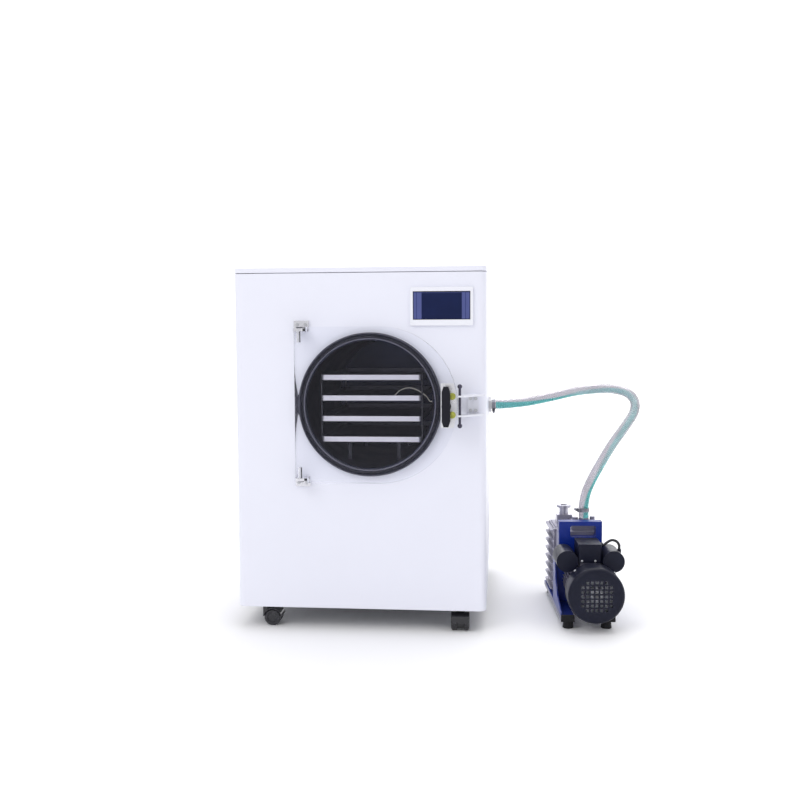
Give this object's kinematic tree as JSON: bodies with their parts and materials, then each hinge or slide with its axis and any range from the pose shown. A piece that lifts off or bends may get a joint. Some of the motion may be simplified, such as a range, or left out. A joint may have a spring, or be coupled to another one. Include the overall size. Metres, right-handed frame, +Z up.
{
  "type": "freeze dryer",
  "caption": "Laboratory freeze dryer: wheeled cabinet, round chamber with heated trays, hinged clear door with a turning latch, touch screen and a vacuum pump on a clear hose.",
  "frame": {"origin": "on the floor, under the middle of the box that holds the cabinet and the pump, the hose left out", "axes": "+X to the right as seen by a person at the door, from the cabinet to the pump; +Y from the door to the rear panel; +Z up"},
  "size_m": [0.9977, 0.7976, 0.867],
  "materials": {
    "white_enamel": "fine-textured powder coat, pale lilac white",
    "galvanised_frame": "galvanised sheet",
    "screw_steel": "nickel-plated, satin",
    "chamber_steel": "satin stainless steel",
    "seal_rubber": "moulded silicone, satin black",
    "insulation_foam": "expanded foam with an open skin",
    "copper": "drawn copper tube, dull",
    "rack_steel": "brushed stainless steel",
    "tray_steel": "pressed stainless steel, bright",
    "probe_silicone": "extruded silicone sheath",
    "hinge_steel": "machined and polished steel",
    "bracket_enamel": "powder coat, white",
    "dark_steel": "blackened steel rod with bright ends",
    "bezel_plastic": "moulded plastic, fine grain",
    "screen_glass": "printed touch panel, gloss",
    "inlet_plastic": "moulded black plastic",
    "switch_plastic": "moulded rocker, gloss",
    "compressor_enamel": "black enamel on a pressed shell",
    "condenser_fins": "thin rolled fins",
    "fan_shroud": "black enamel",
    "fan_plastic": "moulded nylon",
    "fan_pale": "moulded nylon, natural",
    "clamp_steel": "zinc-plated band, darkened",
    "hose_pvc": "clear hose with wire coil, blue-green tint",
    "valve_steel": "turned stainless steel",
    "handle_vinyl": "dipped vinyl, red",
    "door_acrylic": "cast acrylic, polished faces and sawn edge",
    "latch_steel": "bright ground steel",
    "yellow_zinc": "yellow chromate on zinc",
    "knob_plastic": "moulded phenolic, satin black",
    "blue_enamel": "gloss enamel, strong blue",
    "pump_casting": "cast aluminium, silver-lilac paint",
    "sight_glass": "clear window over amber oil",
    "fitting_metal": "turned aluminium, satin",
    "motor_casting": "extruded ribs, silver paint",
    "rotor_steel": "ground steel",
    "cover_plastic": "moulded plastic, satin black",
    "cable_pvc": "extruded sheath",
    "foot_rubber": "moulded rubber",
    "caster_nylon": "moulded nylon, satin",
    "wheel_nylon": "moulded nylon tread"
  },
  "bodies": {
    "machine": {"base_frame": "galvanised_frame", "cabinet_wrap": "white_enamel", "rear_panel": "white_enamel", "top_lid": "white_enamel", "cabinet_screws": "screw_steel", "vacuum_chamber": "chamber_steel", "door_gasket": "seal_rubber", "chamber_insulation": "insulation_foam", "evaporator_coil": "copper", "shelf_rack": "rack_steel", "tray_1": "tray_steel", "tray_2": "tray_steel", "tray_3": "tray_steel", "tray_4": "tray_steel", "probe_lead": "probe_silicone", "hinge_brackets": "hinge_steel", "strike_bracket": "bracket_enamel", "strike_rod": "dark_steel", "screen_bezel": "bezel_plastic", "screen_glass": "screen_glass", "electrical_box": "galvanised_frame", "power_inlet": "inlet_plastic", "compressor": "compressor_enamel", "condenser": "condenser_fins", "fan_housing": "fan_shroud", "refrigerant_pipes": "copper", "vacuum_port": "valve_steel", "hose_clamps": "clamp_steel", "vacuum_hose": "hose_pvc", "drain_valve": "valve_steel", "pump_frame": "blue_enamel", "oil_case": "pump_casting", "sight_glass": "sight_glass", "exhaust_fitting": "fitting_metal", "inlet_fitting": "pump_casting", "pump_module": "pump_casting", "motor_body": "motor_casting", "fan_cover": "cover_plastic", "terminal_box": "cover_plastic", "capacitor_covers": "cover_plastic", "capacitor_lead": "cable_pvc", "pump_feet": "foot_rubber"},
    "door": {"door_panel": "door_acrylic", "latch_plate": "latch_steel", "latch_bolts": "yellow_zinc"},
    "latch": {"latch_cam": "latch_steel", "latch_knob": "knob_plastic"},
    "condenser_fan": {"fan_blade": "fan_plastic"},
    "pump_rotor": {"motor_rotor": "rotor_steel", "motor_fan": "fan_pale"},
    "drain_lever": {"drain_handle": "handle_vinyl"},
    "power_switch": {"main_switch": "switch_plastic"},
    "caster_fl": {"caster_hood_fl": "caster_nylon"},
    "wheels_fl": {"caster_wheels_fl": "wheel_nylon"},
    "caster_fr": {"caster_hood_fr": "caster_nylon"},
    "wheels_fr": {"caster_wheels_fr": "wheel_nylon"},
    "caster_rl": {"caster_hood_rl": "caster_nylon"},
    "wheels_rl": {"caster_wheels_rl": "wheel_nylon"},
    "caster_rr": {"caster_hood_rr": "caster_nylon"},
    "wheels_rr": {"caster_wheels_rr": "wheel_nylon"}
  },
  "joints": [
    {"name": "door_hinge", "type": "hinge", "parent": "machine", "child": "door", "pos_m": [-0.30145, -0.34265, 0.545], "axis": [0, 0, -1], "range_deg": [0, 120]},
    {"name": "latch_turn", "type": "hinge", "parent": "door", "child": "latch", "pos_m": [0.04455, -0.36215, 0.545], "axis": [0, 1, 0], "range_deg": [0, 90]},
    {"name": "condenser_fan_spin", "type": "hinge", "parent": "machine", "child": "condenser_fan", "pos_m": [-0.29545, 0.29985, 0.212], "axis": [0, 1, 0], "continuous": true},
    {"name": "motor_spin", "type": "hinge", "parent": "machine", "child": "pump_rotor", "pos_m": [0.38558, -0.18908, 0.092], "axis": [-0.0698, 0.9976, 0], "continuous": true},
    {"name": "drain_lever_turn", "type": "hinge", "parent": "machine", "child": "drain_lever", "pos_m": [-0.13745, 0.36185, 0.428], "axis": [0, 0, 1], "range_deg": [0, 90]},
    {"name": "power_switch_rock", "type": "hinge", "parent": "machine", "child": "power_switch", "pos_m": [-0.38544, 0.33885, 0.446], "axis": [-1, 0, 0], "range_deg": [0, 16]},
    {"name": "caster_swivel_fl", "type": "hinge", "parent": "machine", "child": "caster_fl", "pos_m": [-0.40344, -0.27215, 0.045], "axis": [0, 0, 1], "continuous": true},
    {"name": "wheel_spin_fl", "type": "hinge", "parent": "caster_fl", "child": "wheels_fl", "pos_m": [-0.38644, -0.27215, 0.02], "axis": [0, 1, 0], "continuous": true},
    {"name": "caster_swivel_fr", "type": "hinge", "parent": "machine", "child": "caster_fr", "pos_m": [0.07255, -0.27215, 0.045], "axis": [0, 0, 1], "continuous": true},
    {"name": "wheel_spin_fr", "type": "hinge", "parent": "caster_fr", "child": "wheels_fr", "pos_m": [0.07255, -0.28915, 0.02], "axis": [1, 0, 0], "continuous": true},
    {"name": "caster_swivel_rl", "type": "hinge", "parent": "machine", "child": "caster_rl", "pos_m": [-0.40344, 0.29785, 0.045], "axis": [0, 0, 1], "continuous": true},
    {"name": "wheel_spin_rl", "type": "hinge", "parent": "caster_rl", "child": "wheels_rl", "pos_m": [-0.40785, 0.31427, 0.02], "axis": [-0.9659, -0.2588, 0], "continuous": true},
    {"name": "caster_swivel_rr", "type": "hinge", "parent": "machine", "child": "caster_rr", "pos_m": [0.07255, 0.29785, 0.045], "axis": [0, 0, 1], "continuous": true},
    {"name": "wheel_spin_rr", "type": "hinge", "parent": "caster_rr", "child": "wheels_rr", "pos_m": [0.07695, 0.31427, 0.02], "axis": [-0.9659, 0.2588, 0], "continuous": true}
  ]
}
